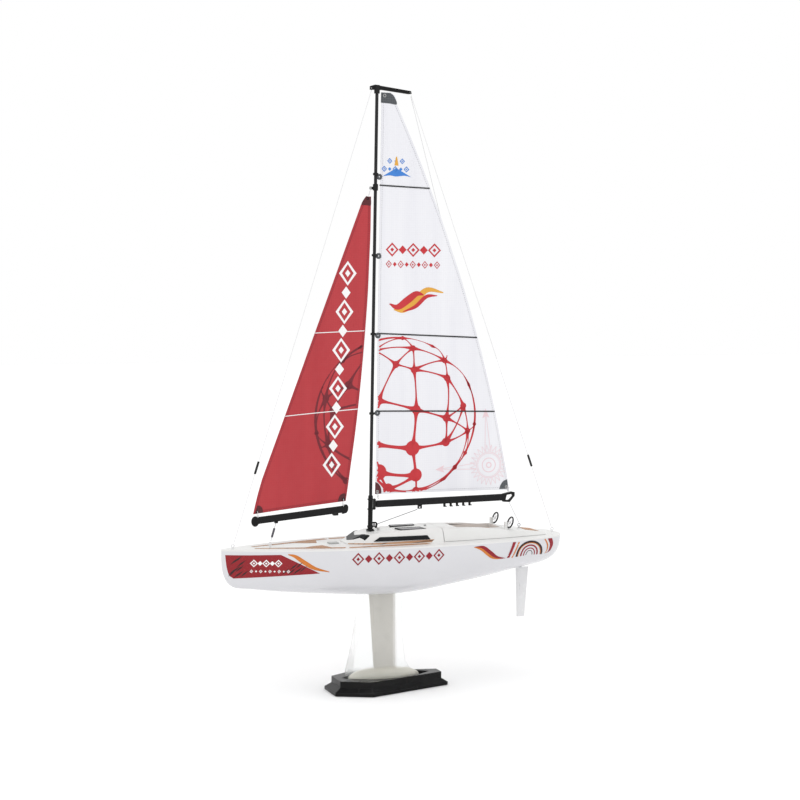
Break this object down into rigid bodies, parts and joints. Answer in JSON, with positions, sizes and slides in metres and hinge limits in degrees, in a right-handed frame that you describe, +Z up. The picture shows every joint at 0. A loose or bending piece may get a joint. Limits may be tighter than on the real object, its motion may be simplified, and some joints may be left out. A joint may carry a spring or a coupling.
{
  "type": "model sailing yacht",
  "caption": "Radio-controlled model sailing yacht with a red jib and a printed white mainsail, on a black plinth with clear panels.",
  "frame": {"origin": "centre of the overall box's underside, on the ground under the rubber feet", "axes": "+X towards the bow, +Y to port, +Z up along the mast"},
  "size_m": [0.4, 0.106, 0.6695],
  "materials": {
    "plinth_black": "satin black moulding",
    "foot_rubber": "matt",
    "panel_clear": "clear polished sheet",
    "hull_white": "gloss white with printed stripes",
    "deck_white": "satin white",
    "window_dark": "gloss",
    "skylight_grey": "gloss",
    "teak_print": "planked veneer",
    "fitting_black": "satin",
    "spar_black": "satin",
    "steel_wire": "bright",
    "rope_white": "thin braided cord",
    "sail_white": "printed sailcloth",
    "sail_red": "printed sailcloth",
    "fin_grey": "satin",
    "bulb_cream": "painted casting",
    "servo_blue": "satin",
    "arm_white": "moulded",
    "cell_jacket": "printed sleeve",
    "board_green": "lacquered",
    "rudder_white": "satin"
  },
  "bodies": {
    "stand": {"stand_plinth": "plinth_black", "stand_rubber_feet": "foot_rubber", "stand_panel_port": "panel_clear", "stand_panel_starboard": "panel_clear"},
    "hull": {"hull_shell": "hull_white", "deck_moulding": "deck_white", "coachroof_windows": "window_dark", "skylights": "skylight_grey", "teak_deck_inlays": "teak_print", "foredeck_vent": "fitting_black", "keel_fin": "fin_grey", "ballast_bulb": "bulb_cream", "keel_trunk": "deck_white", "keel_bolt_and_nut": "steel_wire", "rudder_tube": "steel_wire", "steering_servo": "servo_blue", "sail_winch_servo": "servo_blue", "battery_tray": "fitting_black", "battery_cells": "cell_jacket", "radio_receiver": "board_green", "power_switch_case": "fitting_black", "mast_sleeve": "fitting_black", "mast_tube": "spar_black", "jib_hoist_band": "fitting_black", "luff_rings": "fitting_black", "gooseneck_bracket": "fitting_black", "gooseneck_pin": "steel_wire", "masthead_crane": "fitting_black", "forestay": "rope_white", "backstay": "rope_white", "stay_adjusters": "fitting_black", "rigging_eyes": "steel_wire", "sheet_fairleads": "fitting_black"},
    "cockpit_cover": {"cockpit_cover": "deck_white", "cockpit_sole": "teak_print", "aft_deck_teak": "teak_print", "helm_wheels": "fitting_black", "main_sheet_eye": "steel_wire"},
    "main_boom": {"main_boom": "spar_black", "boom_knuckle": "fitting_black", "boom_end_fitting": "fitting_black", "boom_hooks": "fitting_black", "kicker_line": "rope_white", "mainsail": "sail_white", "battens": "fitting_black", "topping_lift": "rope_white", "main_sheet": "rope_white"},
    "jib_boom": {"jib_boom": "spar_black", "jib_counterweight": "fitting_black", "jib_boom_end": "fitting_black", "jib_swivel_tube": "skylight_grey", "jib_sail": "sail_red", "jib_pivot_lines": "rope_white"},
    "rudder": {"rudder_blade": "rudder_white", "rudder_stock": "steel_wire", "rudder_tiller": "arm_white"},
    "servo_horn": {"rudder_servo_horn": "arm_white"},
    "push_rod": {"steering_push_rod": "steel_wire"},
    "sheeting_arm": {"sheeting_arm": "arm_white"},
    "switch_slider": {"power_switch_slider": "deck_white"}
  },
  "joints": [
    {"name": "hull_lift", "type": "slide", "parent": "stand", "child": "hull", "axis": [0, 0, 1], "range_m": [0, 0.13]},
    {"name": "cover_lift", "type": "slide", "parent": "hull", "child": "cockpit_cover", "axis": [0, 0, 1], "range_m": [0, 0.009]},
    {"name": "main_boom_swing", "type": "hinge", "parent": "hull", "child": "main_boom", "pos_m": [0.02472, 0, 0.20854], "axis": [-0.0127, 0, 0.9999], "range_deg": [-60, 60], "deforming": ["topping_lift", "main_sheet"]},
    {"name": "jib_swing", "type": "hinge", "parent": "hull", "child": "jib_boom", "pos_m": [0.1456, 0, 0.1704], "axis": [-0.2857, 0, 0.9583], "range_deg": [-60, 60]},
    {"name": "rudder_turn", "type": "hinge", "parent": "hull", "child": "rudder", "pos_m": [-0.154, 0, 0.128], "axis": [0, 0, 1], "range_deg": [-35, 35]},
    {"name": "servo_horn_turn", "type": "hinge", "parent": "hull", "child": "servo_horn", "pos_m": [-0.112, 0, 0.155], "axis": [0, 0, 1], "range_deg": [-35, 35]},
    {"name": "push_rod_turn", "type": "hinge", "parent": "servo_horn", "child": "push_rod", "pos_m": [-0.112, 0.01, 0.158], "axis": [0, 0, 1], "range_deg": [-35, 35]},
    {"name": "sheeting_arm_turn", "type": "hinge", "parent": "hull", "child": "sheeting_arm", "pos_m": [-0.078, 0, 0.155], "axis": [0, 0, 1], "range_deg": [-60, 60]},
    {"name": "switch_slide", "type": "slide", "parent": "hull", "child": "switch_slider", "axis": [1, 0, 0], "range_m": [0, 0.0028]}
  ],
  "couplings": [
    {"joint": "servo_horn_turn", "follows": "rudder_turn", "ratio": 1},
    {"joint": "push_rod_turn", "follows": "rudder_turn", "ratio": -1}
  ]
}
